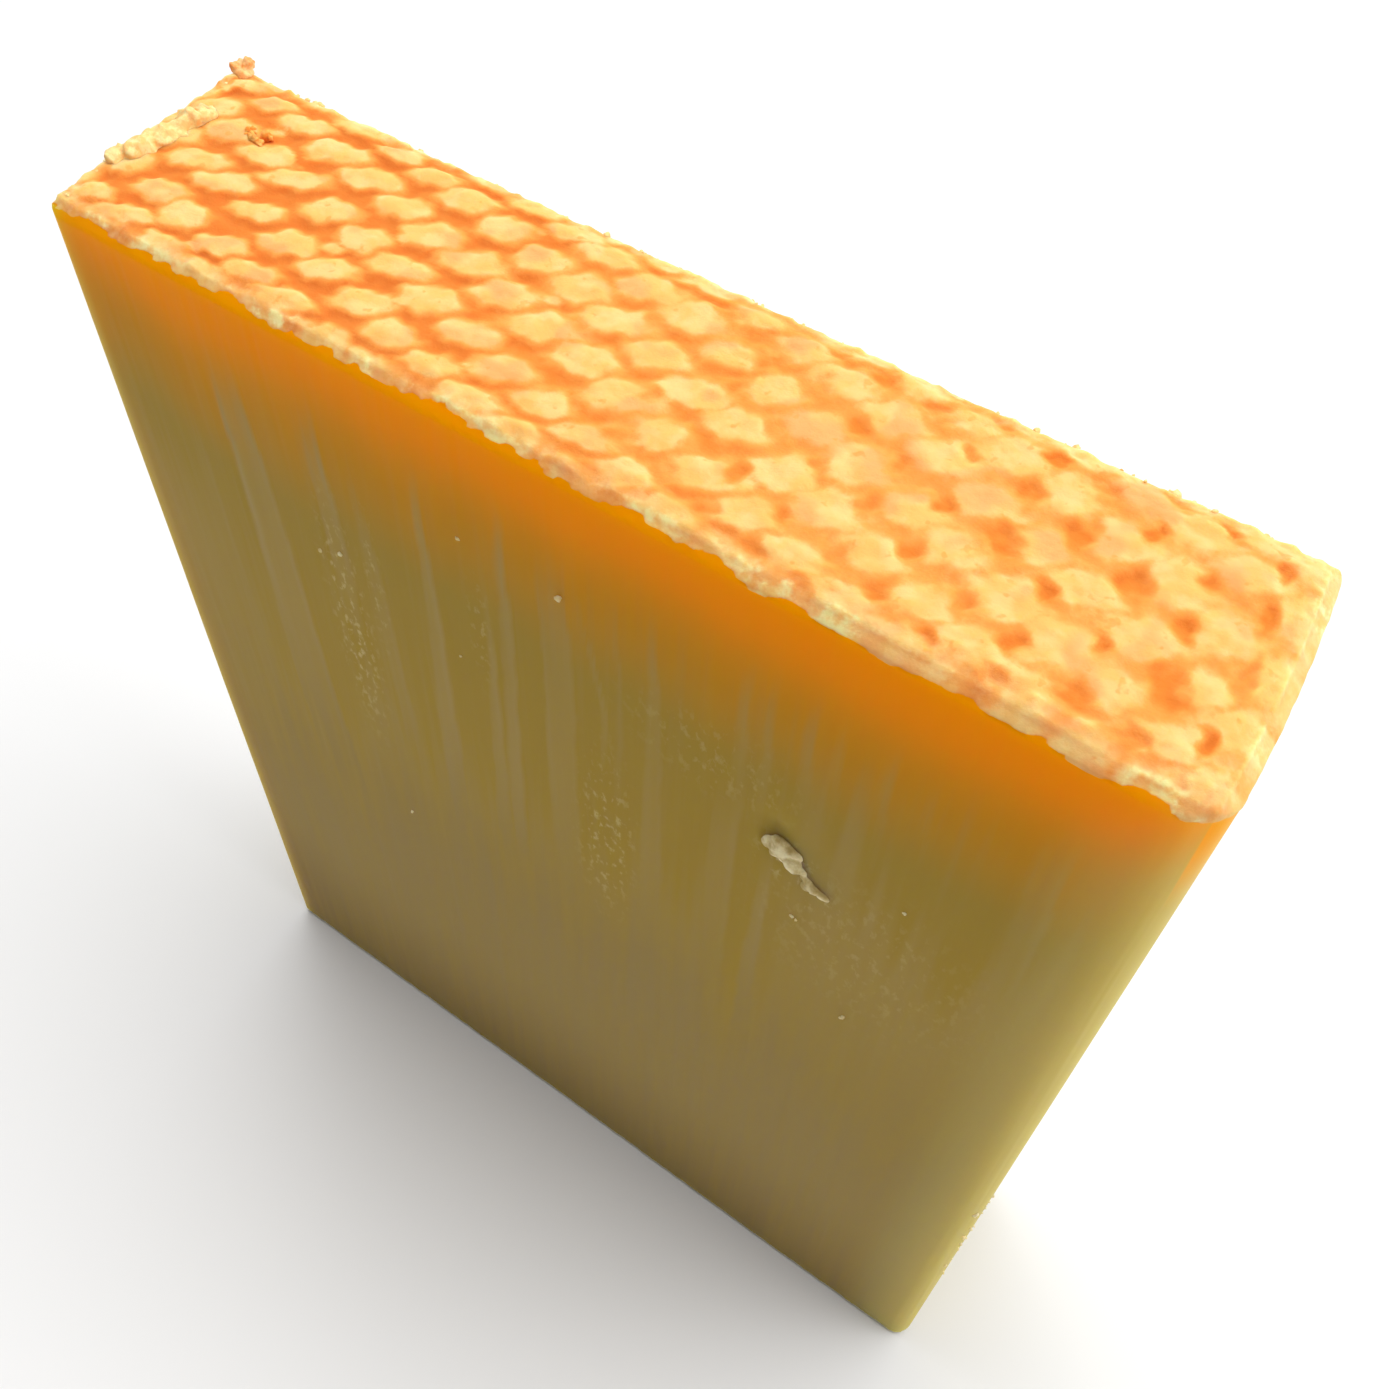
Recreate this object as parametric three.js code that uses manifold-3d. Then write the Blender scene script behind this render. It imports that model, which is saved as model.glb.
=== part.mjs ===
// A block of hard alpine cheese, cut as an upright slab from the wheel. The narrow top face is the
// rind, printed all over by the weave of the cloth that the wheel was pressed in. The four sides and
// the foot are cut paste. Millimetres, +Z up, the rind's long side along X, the origin at the middle
// of the foot.
import * as THREE from 'three';
import { mergeVertices } from 'three/addons/utils/BufferGeometryUtils.js';
import Module from 'manifold-3d';

// The slab before its irregular cuts
const WIDTH = 91.6; // along the rind
const DEPTH = 21.6; // thickness of the slab
const HEIGHT = 111.3; // from the foot to the paste's upper edge

// How far the hand-made cuts run off square
const LEFT_SKEW = 0.25; // the end cuts, over the slab's depth
const RIGHT_SKEW = 0.7;
const DEPTH_TAPER = 1.3; // the slab is thicker at its right end by this much
const FRONT_SHARE = 0.35; // share of that which the front face takes
const FOOT_TWIST = 1.2; // the foot is turned against the rind, measured over the width
const FOOT_SHIFT = -0.12; // the foot lies this far forward of the rind
const BACK_RISE_LEFT = 0.86; // the rind's back edge above its front edge
const BACK_RISE_RIGHT = 0.27;
const RIGHT_RISE = -0.15; // the rind's right end against its left end
const FOOT_NARROWING = 0.8; // the left end leans in towards the foot
const LEFT_BOW = 0.3; // the cuts swell in the middle
const RIGHT_BOW = 0.45;
const BACK_BOW = 0.1;
const FACE_WAVE = { height: 0.1, x: 23, z: 31, seed: 11 }; // slow waves that the blade left in the faces

// Radii of the four upright corners, by the signs of X and Y, and of the foot's edge
const CORNER_FRONT_LEFT = 1.5;
const CORNER_FRONT_RIGHT = 3.2;
const CORNER_BACK_LEFT = 1.2;
const CORNER_BACK_RIGHT = 1.1;
const CORNER_AT_FOOT = 0.55; // share of the radius that is left at the foot
const FOOT_EDGE_RADIUS = 0.7;

// The body's grid, whose lines crowd towards the edges
const BODY_COLUMNS = 18;
const BODY_ROWS = 6;
const BODY_LAYERS = 16;
const LINE_CROWDING = 0.75;

// The rind: a cap whose wall stands a little proud of the paste and dips into it further down
const RIND_COLUMNS = 102;
const RIND_ROWS = 24;
const RIND_FOOT = 3; // depth of the cap below the paste's upper edge
const RIND_LAYERS = [
  { drop: 0, out: -0.5, ragged: 0.25 },
  { drop: 0.55, out: -0.02, ragged: 0.34 },
  { drop: 1.15, out: 0.1, ragged: 0.3 },
  { drop: RIND_FOOT, out: -0.7, ragged: 0 },
];
const BODY_TOP_DROP = 1.6; // the body ends this far under the cap's top
const EDGE_FALL = { depth: 0.22, breadth: 1.8, uneven: 0.2, seed: 21 }; // at the face's broken edge
const EDGE_GRAIN = { size: 0.9, seed: 17 }; // grain of the broken edge
const EDGE_TOLERANCE = 0.01;
const ACROSS_AT_RIM = 0.3; // share of the lengthwise push that a point of the rim gets
const FACE_LIFT = 0.1; // bottoms of the printed grooves above the paste's upper edge

// The cloth's print: a slanted lattice of raised lobes
const PRINT_DEPTH = 0.42;
const FINE_GRAIN = { height: 0.1, x: 1.3, y: 1.1, seed: 5 };
const PRINT_START = { x: -35.05, y: -1.75 };
const PRINT_STEP = 4;
const PRINT_COLUMNS = { first: -4, last: 21 };
const PRINT_ROWS = { first: -4, last: 8 };
const PRINT_SLOPE = 0.26;
const PRINT_SLOPE_GROWTH = 0.0009;
const PRINT_PITCH = 4.3;
const PRINT_PITCH_GROWTH = 0.005;
const PRINT_MARGIN = 13.5;
const LOBE_LENGTH = { size: 2.8, growth: 0.1, least: 0.86, spread: 0.28 };
const LOBE_BREADTH = { size: 1.48, growth: 0.85, least: 0.88, spread: 0.24 };
const LOBE_TURN = { least: 17, spread: 10 };
const LOBE_STRAY = { x: 0.8, y: 0.6 };
const LOBE_STEEPNESS = 1.6;
const LOBE_FULLNESS = 1.9;

// The lobes run together towards the right end, and single hollows stay between them
const MERGING = { from: -21.55, over: 45 };
const HOLLOW = { radius: 0.55, spread: 0.65, fall: -0.6, strayX: 0.7, strayY: 0.8, stretch: 1.35 };
const HOLLOW_LIMIT = 0.95;

// Waves that bend the lattice, each along its own axis of the rind
const BENDS_X = [
  { size: 0.18, x: 0.7, y: 1.9, start: 0 },
  { size: 0.1, x: -1.1, y: 4.3, start: 2 },
];
const BENDS_Y = [
  { size: 0.14, x: 1.3, y: 1.2, start: 1 },
  { size: 0.1, x: 3.7, y: 0, start: 0.5 },
];

// Crumbs that cling to the rind's torn left end and to its back left corner
const TORN_END_CRUMBS = {
  count: 12,
  from: -4.6,
  to: 4.2,
  least: 0.6,
  spread: 0.45,
  inset: 1,
  slant: 2.2,
  straying: 0.8,
  lift: 0.1,
  rising: 0.25,
  uneven: 0.6,
  seed: 41,
};
const CORNER_CRUMBS = [
  { x: -45.1, y: 10, lift: 0.5, radius: 0.75 },
  { x: -44.4, y: 10.3, lift: 0.7, radius: 0.6 },
  { x: -45.1, y: 9.3, lift: 0.7, radius: 0.5 },
];
const CRUMB = { uneven: 0.35, flatness: 0.8, seed: 31 };
const CORNER_SEED = 80;

// A nick in the front face with the crumbs that the blade tore out of it
const NICK = { x: 20.3, z: 85.7, width: 1.8, depth: 0.5, height: 1.1 };
const NICK_CRUMBS = [
  { x: 20.1, z: 84.1, radius: 0.5 },
  { x: 21.1, z: 84.3, radius: 0.6 },
  { x: 21.9, z: 84.2, radius: 0.5 },
  { x: 23.6, z: 82.2, radius: 0.5 },
];
const NICK_SEED = 90;

const PASTE_COLOUR = 0xd2a44c;
const PASTE_ROUGHNESS = 0.45;

// Repeatable scatter between 0 and 1 for three whole numbers
function scatter(i, j, k) {
  const value = Math.sin(i * 127.1 + j * 311.7 + k * 74.7) * 43758.5453;
  return value - Math.floor(value);
}

// Smooth noise between -1 and 1 with a cell of one unit
function grain(x, y, k) {
  const i = Math.floor(x);
  const j = Math.floor(y);
  const s = THREE.MathUtils.smoothstep(x - i, 0, 1);
  const t = THREE.MathUtils.smoothstep(y - j, 0, 1);
  const near = THREE.MathUtils.lerp(scatter(i, j, k), scatter(i + 1, j, k), s);
  const far = THREE.MathUtils.lerp(scatter(i, j + 1, k), scatter(i + 1, j + 1, k), s);
  return 2 * THREE.MathUtils.lerp(near, far, t) - 1;
}

// One measure of a lobe, from how far the lobes have run together and its own chance
function lobeSize(measure, merging, chance) {
  return (measure.size + measure.growth * merging) * (measure.least + measure.spread * chance);
}

// The lobes of the print, each with the hollow at its lower right
function printLobes() {
  const lobes = [];
  for (let i = PRINT_COLUMNS.first; i <= PRINT_COLUMNS.last; i += 1) {
    const along = PRINT_STEP * i;
    const x = PRINT_START.x + along;
    const base = PRINT_START.y - PRINT_SLOPE * along - PRINT_SLOPE_GROWTH * along * along;
    const pitch = PRINT_PITCH + PRINT_PITCH_GROWTH * along;
    const merging = THREE.MathUtils.clamp((x - MERGING.from) / MERGING.over, 0, 1);
    for (let j = PRINT_ROWS.first; j <= PRINT_ROWS.last; j += 1) {
      const y = base + j * pitch;
      if (Math.abs(y) > PRINT_MARGIN) {
        continue;
      }
      const turn = THREE.MathUtils.degToRad(LOBE_TURN.least + LOBE_TURN.spread * scatter(i, j, 4));
      lobes.push({
        x: x + (scatter(i, j, 0) - 0.5) * LOBE_STRAY.x,
        y: y + (scatter(i, j, 1) - 0.5) * LOBE_STRAY.y,
        length: lobeSize(LOBE_LENGTH, merging, scatter(i, j, 2)),
        breadth: lobeSize(LOBE_BREADTH, merging, scatter(i, j, 3)),
        cos: Math.cos(turn),
        sin: Math.sin(turn),
        merging,
        hollowX: x + PRINT_STEP / 2 + (scatter(i, j, 5) - 0.5) * HOLLOW.strayX,
        hollowY: y + pitch / 2 + HOLLOW.fall + (scatter(i, j, 6) - 0.5) * HOLLOW.strayY,
        hollow: HOLLOW.radius + HOLLOW.spread * scatter(i, j, 5) * scatter(i, j, 6),
      });
    }
  }
  return lobes;
}

// How far the waves of one axis push a point of the lattice
function bend(waves, x, y) {
  return waves.reduce((sum, wave) => sum + wave.size * Math.sin(wave.x * x + wave.y * y + wave.start), 0);
}

// Height of the print between 0 in its grooves and 1 on its lobes
function printHeight(x, y, lobes) {
  const wavyX = x + bend(BENDS_X, x, y);
  const wavyY = y + bend(BENDS_Y, x, y);
  let raised = 0;
  let sunk = 0;
  for (const lobe of lobes) {
    const dx = wavyX - lobe.x;
    const dy = wavyY - lobe.y;
    const along = (dx * lobe.cos + dy * lobe.sin) / lobe.length;
    const across = (dy * lobe.cos - dx * lobe.sin) / lobe.breadth;
    const spread = along * along + across * across;
    raised += Math.exp(-LOBE_STEEPNESS * spread * spread);
    const hollowX = (wavyX - lobe.hollowX) / lobe.hollow;
    const hollowY = (wavyY - lobe.hollowY) / (HOLLOW.stretch * lobe.hollow);
    const reach = hollowX * hollowX + hollowY * hollowY;
    sunk += lobe.merging * Math.exp(-reach * reach);
  }
  return (1 - Math.exp(-LOBE_FULLNESS * raised)) * (1 - Math.min(sunk, HOLLOW_LIMIT));
}

// Radius of the upright corner on this side of the slab
function cornerRadius(x, y) {
  if (y < 0) {
    return x < 0 ? CORNER_FRONT_LEFT : CORNER_FRONT_RIGHT;
  }
  return x < 0 ? CORNER_BACK_LEFT : CORNER_BACK_RIGHT;
}

// Pulls a point of the square slab onto its rounded corners
function roundCorner(x, y, up, halfWidth, halfDepth) {
  const radius = cornerRadius(x, y) * THREE.MathUtils.lerp(CORNER_AT_FOOT, 1, up);
  const innerX = THREE.MathUtils.clamp(x, radius - halfWidth, halfWidth - radius);
  const innerY = THREE.MathUtils.clamp(y, radius - halfDepth, halfDepth - radius);
  const offX = x - innerX;
  const offY = y - innerY;
  const reach = Math.hypot(offX, offY);
  if (reach <= radius) {
    return { x, y };
  }
  return { x: innerX + (offX * radius) / reach, y: innerY + (offY * radius) / reach };
}

// Moves a point of the square slab to its place in the slab as it was cut
function cutShape(x, y, z) {
  const right = x / WIDTH + 0.5;
  const back = y / DEPTH + 0.5;
  const up = z / HEIGHT;
  const middleX = 1 - (2 * right - 1) ** 2;
  const middleY = 1 - (2 * back - 1) ** 2;
  const slow = grain(x / FACE_WAVE.x + 7, z / FACE_WAVE.z + 3, FACE_WAVE.seed);
  const wave = FACE_WAVE.height * slow * (2 * back - 1);
  const rise = back * THREE.MathUtils.lerp(BACK_RISE_LEFT, BACK_RISE_RIGHT, right);
  return {
    x: x - THREE.MathUtils.lerp(LEFT_SKEW, RIGHT_SKEW, right) * back
      + FOOT_NARROWING * (1 - up) * (1 - right)
      + THREE.MathUtils.lerp(-LEFT_BOW, RIGHT_BOW, right) * middleY,
    y: y + DEPTH_TAPER * (back - FRONT_SHARE) * (right - 0.5)
      - (1 - up) * (FOOT_TWIST * (right - 0.5) - FOOT_SHIFT)
      + BACK_BOW * back * middleX
      + wave,
    z: z + up * (rise + RIGHT_RISE * right),
  };
}

// Turns a fraction between 0 and 1 into one whose grid lines crowd towards both ends
function crowd(fraction) {
  const t = 2 * fraction - 1;
  return 0.5 + 0.5 * (t + (LINE_CROWDING * Math.sin(Math.PI * t)) / Math.PI);
}

// A box whose points are moved by a function of their fractions of its width, depth and height
function shapedBox(columns, rows, layers, place) {
  const box = new THREE.BoxGeometry(1, 1, 1, columns, rows, layers);
  const points = box.getAttribute('position');
  for (let n = 0; n < points.count; n += 1) {
    const moved = place(points.getX(n) + 0.5, points.getY(n) + 0.5, points.getZ(n) + 0.5);
    points.setXYZ(n, moved.x, moved.y, moved.z);
  }
  return box;
}

// The paste, from the foot to just under the rind's face
function pasteBody() {
  const top = HEIGHT - BODY_TOP_DROP;
  return shapedBox(BODY_COLUMNS, BODY_ROWS, BODY_LAYERS, (across, deep, high) => {
    const z = top * crowd(high);
    const inset = high === 0 ? FOOT_EDGE_RADIUS : 0;
    const halfWidth = WIDTH / 2 - inset;
    const halfDepth = DEPTH / 2 - inset;
    const flat = roundCorner(
      2 * halfWidth * (crowd(across) - 0.5),
      2 * halfDepth * (crowd(deep) - 0.5),
      crowd(high),
      halfWidth,
      halfDepth,
    );
    return cutShape(flat.x, flat.y, z);
  });
}

// How far the rind's face falls and crumbles near its edge
function edgeFall(x, y) {
  const inside = Math.min(WIDTH / 2 - Math.abs(x), DEPTH / 2 - Math.abs(y));
  const near = 1 - THREE.MathUtils.smoothstep(inside, 0, EDGE_FALL.breadth);
  const rough = grain(x / EDGE_GRAIN.size, y / EDGE_GRAIN.size, EDGE_FALL.seed);
  return near * (EDGE_FALL.depth + EDGE_FALL.uneven * rough);
}

// The rind's cap with the printed face and the broken edge round it
function rindCap(lobes) {
  const layers = RIND_LAYERS.length - 1;
  return shapedBox(RIND_COLUMNS, RIND_ROWS, layers, (across, deep, high) => {
    const layer = RIND_LAYERS[Math.round((1 - high) * layers)];
    const x = WIDTH * (across - 0.5);
    const y = DEPTH * (deep - 0.5);
    const onRim = across === 0 || across === 1 || deep === 0 || deep === 1;
    const flat = roundCorner(x, y, 1, WIDTH / 2, DEPTH / 2);
    let z = HEIGHT - layer.drop;
    if (layer.drop === 0) {
      const fine = FINE_GRAIN.height * grain(x / FINE_GRAIN.x, y / FINE_GRAIN.y, FINE_GRAIN.seed);
      z += FACE_LIFT + PRINT_DEPTH * printHeight(x, y, lobes) + fine - edgeFall(x, y);
    }
    if (onRim) {
      const rough = grain(
        (x + y) / EDGE_GRAIN.size,
        (x - y) / EDGE_GRAIN.size + layers * high,
        EDGE_GRAIN.seed,
      );
      const out = layer.out + layer.ragged * rough;
      const reach = Math.hypot(flat.x / WIDTH, flat.y / DEPTH);
      const onEnd = Math.abs(x) > WIDTH / 2 - EDGE_TOLERANCE;
      const onFace = Math.abs(y) > DEPTH / 2 - EDGE_TOLERANCE;
      const sideX = onEnd ? Math.sign(x) : (ACROSS_AT_RIM * flat.x) / WIDTH / reach;
      const sideY = onFace ? Math.sign(y) : (ACROSS_AT_RIM * flat.y) / DEPTH / reach;
      const length = Math.hypot(sideX, sideY);
      flat.x += (out * sideX) / length;
      flat.y += (out * sideY) / length;
    }
    return cutShape(flat.x, flat.y, z);
  });
}

// One uneven crumb about its own middle
function crumb(radius, seed) {
  const shape = new THREE.IcosahedronGeometry(radius, 1);
  shape.deleteAttribute('normal');
  shape.deleteAttribute('uv');
  const merged = mergeVertices(shape, radius * 0.001);
  const points = merged.getAttribute('position');
  for (let n = 0; n < points.count; n += 1) {
    const swell = 1 + CRUMB.uneven * (scatter(n, seed, CRUMB.seed) - 0.5);
    points.setXYZ(
      n,
      points.getX(n) * swell,
      points.getY(n) * swell,
      points.getZ(n) * swell * CRUMB.flatness,
    );
  }
  return merged;
}

// The crumbs with their places in the cut slab
function crumbs() {
  const list = [];
  const torn = TORN_END_CRUMBS;
  for (let n = 0; n < torn.count; n += 1) {
    const chance = [1, 2, 3, 4].map((k) => scatter(n, k, torn.seed));
    const radius = torn.least + torn.spread * chance[0];
    const share = (n + torn.uneven * chance[1]) / torn.count;
    const y = THREE.MathUtils.lerp(torn.from, torn.to, share);
    const x = -WIDTH / 2 + torn.inset + torn.slant * share + torn.straying * chance[2];
    const place = cutShape(x, y, HEIGHT + torn.lift + torn.rising * chance[3]);
    list.push({ place, radius, seed: n });
  }
  CORNER_CRUMBS.forEach((spot, n) => {
    const place = cutShape(spot.x, spot.y, HEIGHT + spot.lift);
    list.push({ place, radius: spot.radius, seed: n + CORNER_SEED });
  });
  NICK_CRUMBS.forEach((spot, n) => {
    const place = cutShape(spot.x, -DEPTH / 2, spot.z);
    list.push({ place, radius: spot.radius, seed: n + NICK_SEED });
  });
  return list.map(({ place, radius, seed }) => {
    return crumb(radius, seed).translate(place.x, place.y, place.z);
  });
}

// The nick as a flat hollow across the front face
function nick() {
  const hollow = new THREE.IcosahedronGeometry(1, 2);
  const place = cutShape(NICK.x, -DEPTH / 2, NICK.z);
  hollow.scale(NICK.width, NICK.depth, NICK.height);
  return hollow.translate(place.x, place.y, place.z);
}

const wasm = await Module();
wasm.setup();

// A closed surface as a solid that can be joined and cut
function solidOf(geometry) {
  geometry.deleteAttribute('normal');
  geometry.deleteAttribute('uv');
  const merged = mergeVertices(geometry, 1e-4);
  const vertProperties = new Float32Array(merged.getAttribute('position').array);
  const triVerts = new Uint32Array(merged.getIndex().array);
  return new wasm.Manifold(new wasm.Mesh({ numProp: 3, vertProperties, triVerts }));
}

// The surface of a solid
function surfaceOf(solid) {
  const mesh = solid.getMesh();
  const geometry = new THREE.BufferGeometry();
  geometry.setAttribute('position', new THREE.BufferAttribute(new Float32Array(mesh.vertProperties), 3));
  geometry.setIndex(new THREE.BufferAttribute(new Uint32Array(mesh.triVerts), 1));
  return geometry;
}

// Sets the geometry's foot on the origin, under the middle of its width and depth
function standOnOrigin(geometry) {
  geometry.computeBoundingBox();
  const { min, max } = geometry.boundingBox;
  return geometry.translate(-(min.x + max.x) / 2, -(min.y + max.y) / 2, -min.z);
}

function gruyereBlock() {
  let solid = solidOf(pasteBody()).add(solidOf(rindCap(printLobes())));
  for (const piece of crumbs()) {
    solid = solid.add(solidOf(piece));
  }
  solid = solid.subtract(solidOf(nick()));
  const geometry = standOnOrigin(surfaceOf(solid));
  geometry.computeVertexNormals();
  const material = new THREE.MeshStandardMaterial({
    color: PASTE_COLOUR,
    roughness: PASTE_ROUGHNESS,
    metalness: 0,
  });
  const block = new THREE.Mesh(geometry, material);
  block.name = 'gruyere_block';
  return block;
}

const part = new THREE.Group();
part.add(gruyereBlock());

export default part;
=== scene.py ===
import math

import bpy
import numpy as np
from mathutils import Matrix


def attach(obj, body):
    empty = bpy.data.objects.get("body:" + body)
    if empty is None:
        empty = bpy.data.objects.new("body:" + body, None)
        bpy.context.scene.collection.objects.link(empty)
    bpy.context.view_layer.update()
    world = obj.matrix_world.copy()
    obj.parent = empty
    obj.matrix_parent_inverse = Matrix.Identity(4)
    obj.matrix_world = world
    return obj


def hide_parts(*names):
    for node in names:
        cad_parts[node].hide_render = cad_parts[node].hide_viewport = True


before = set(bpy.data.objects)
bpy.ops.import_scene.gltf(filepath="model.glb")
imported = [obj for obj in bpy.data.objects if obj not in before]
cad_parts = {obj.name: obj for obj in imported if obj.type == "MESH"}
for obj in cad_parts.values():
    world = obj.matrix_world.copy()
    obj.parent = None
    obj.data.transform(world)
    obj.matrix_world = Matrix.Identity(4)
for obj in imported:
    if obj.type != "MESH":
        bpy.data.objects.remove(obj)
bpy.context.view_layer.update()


# The camera looks down on the slab from the front right, as in the photograph. A short lens close by
# gives the strong perspective, and the small shift puts the slab where the picture's frame has it.
CAMERA_PLACE = (0.04198, -0.06104, 0.17802)
CAMERA_TURN = (38.154, -1.708, 34.106)  # degrees about X, Y and Z
LENS_MM = 37.81
SHIFT = (0.02, -0.05)

bpy.ops.object.select_all(action="DESELECT")
bpy.ops.object.camera_add(
    location=CAMERA_PLACE, rotation=[math.radians(a) for a in CAMERA_TURN]
)
camera = bpy.context.object
camera.name = "camera"
camera.data.lens = LENS_MM
camera.data.sensor_width = 36
camera.data.shift_x, camera.data.shift_y = SHIFT
camera.data.clip_start = 0.005
bpy.context.scene.camera = camera


# The block is one upright slab of hard alpine cheese, cut from a wheel on its four sides and its foot.
# The narrow top is the wheel's rind, which carries the weave of the pressing cloth as raised lobes with
# grooves between them. The sizes in this section are millimetres.
WIDTH, DEPTH, HEIGHT = 91.6, 21.6, 111.3
COLUMNS, ROWS = 362, 68
MIDDLE = (0.1097, 0.0542)  # sets the cut slab's box over the origin

# How the hand-made cuts run off square
LEFT_SKEW, RIGHT_SKEW = 0.25, 0.7
DEPTH_TAPER, FRONT_SHARE = 1.3, 0.35
FOOT_TWIST, FOOT_SHIFT, FOOT_NARROWING = 1.2, -0.12, 0.8
BACK_RISE_LEFT, BACK_RISE_RIGHT, RIGHT_RISE = 0.86, 0.27, -0.15
LEFT_BOW, RIGHT_BOW, BACK_BOW, FACE_WAVE = 0.3, 0.45, 0.1, 0.1
CORNERS = {(-1, -1): 1.5, (1, -1): 3.2, (-1, 1): 1.2, (1, 1): 1.1}
CORNER_AT_FOOT = 0.55
FOOT_EDGE = 0.8

# The rind's broken rim: how far it slopes in, over what height and how far onto the rind, how much it
# drops, how thick the rind shows on the cut and on the right end, and how it stands out from the paste
RIM_SLOPE, RIM_HEIGHT, RIM_REACH = 1.05, 1.15, 4
RIM_DROP = 0.36
RIND_THICKNESS, RIND_EXTRA_AT_RIGHT = 0.52, 0.75
RIM_OVERHANG, RIM_ROUGHNESS = 0.04, 0.1

# The cloth's print
PRINT_DEPTH, PRINT_BED = 0.42, 0.1
PRINT_START = (-35.05, -1.75)
PRINT_STEP, PRINT_PITCH, PRINT_PITCH_GROWTH = 4, 4.3, 0.005
PRINT_SLOPE, PRINT_SLOPE_GROWTH = 0.26, 0.0009
PRINT_COLUMNS, PRINT_ROWS, PRINT_REACH = range(-4, 22), range(-4, 9), 13.5
LOBE_LENGTH, LOBE_BREADTH, LOBE_BROADENING = 2.8, 1.48, 0.85
LOBE_TURN, LOBE_TURN_SPREAD = 17, 10  # degrees
LOBE_STRAY_X, LOBE_STRAY_Y = 0.8, 0.6
LOBE_STEEPNESS, LOBE_FULLNESS = 1.6, 1.9
CROWN_STEEPNESS, CROWN_POWER, CROWN_SKEW = 2.2, 1.35, 0.12
ISLETS_ABOVE, ISLET_SIZE = 0.62, 0.75
MERGE_START, MERGE_RUN = -21.55, 45  # along the slab, from where the lobes run together
HOLLOW_LIMIT = 0.95
GROOVE_PALING, PALING_START, PALING_RUN = 0.52, -14, 40  # grooves grow paler along the slab
CRACK = ((-34.4, 4.4), (-33.2, 4.1), (-32.5, 3.1), (-31.6, 3.5), (-30.2, 3.7))
CRACK_EDGES = (0.05, 0.4)

# Slack in the cloth, as waves across the print: their size, their turn per millimetre along the slab
# and across it, and their start. Its fraying is finer, along and across, in cells of the last size.
SLACK_ALONG = ((0.18, 0.7, 1.9, 0), (0.1, -1.1, 4.3, 2))
SLACK_ACROSS = ((0.14, 1.3, 1.2, 1), (0.1, 3.7, 0, 0.5))
FRAY_ALONG, FRAY_ACROSS, FRAY_CELL = 0.1, 0.08, 1.1


def smooth(value, low, high):
    t = np.clip((value - low) / (high - low), 0, 1)
    return t * t * (3 - 2 * t)


def scatter(i, j, k):
    value = np.sin(i * 127.1 + j * 311.7 + k * 74.7) * 43758.5453
    return value - np.floor(value)


def grain(x, y, k):
    """Smooth noise between -1 and 1 with cells of one unit."""
    i, j = np.floor(x), np.floor(y)
    s, t = smooth(x - i, 0, 1), smooth(y - j, 0, 1)
    near = scatter(i, j, k) * (1 - s) + scatter(i + 1, j, k) * s
    far = scatter(i, j + 1, k) * (1 - s) + scatter(i + 1, j + 1, k) * s
    return 2 * (near * (1 - t) + far * t) - 1


def slack(waves, x, y):
    """How far the waves in the cloth move the print."""
    return sum(size * np.sin(per_x * x + per_y * y + start) for size, per_x, per_y, start in waves)


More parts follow.
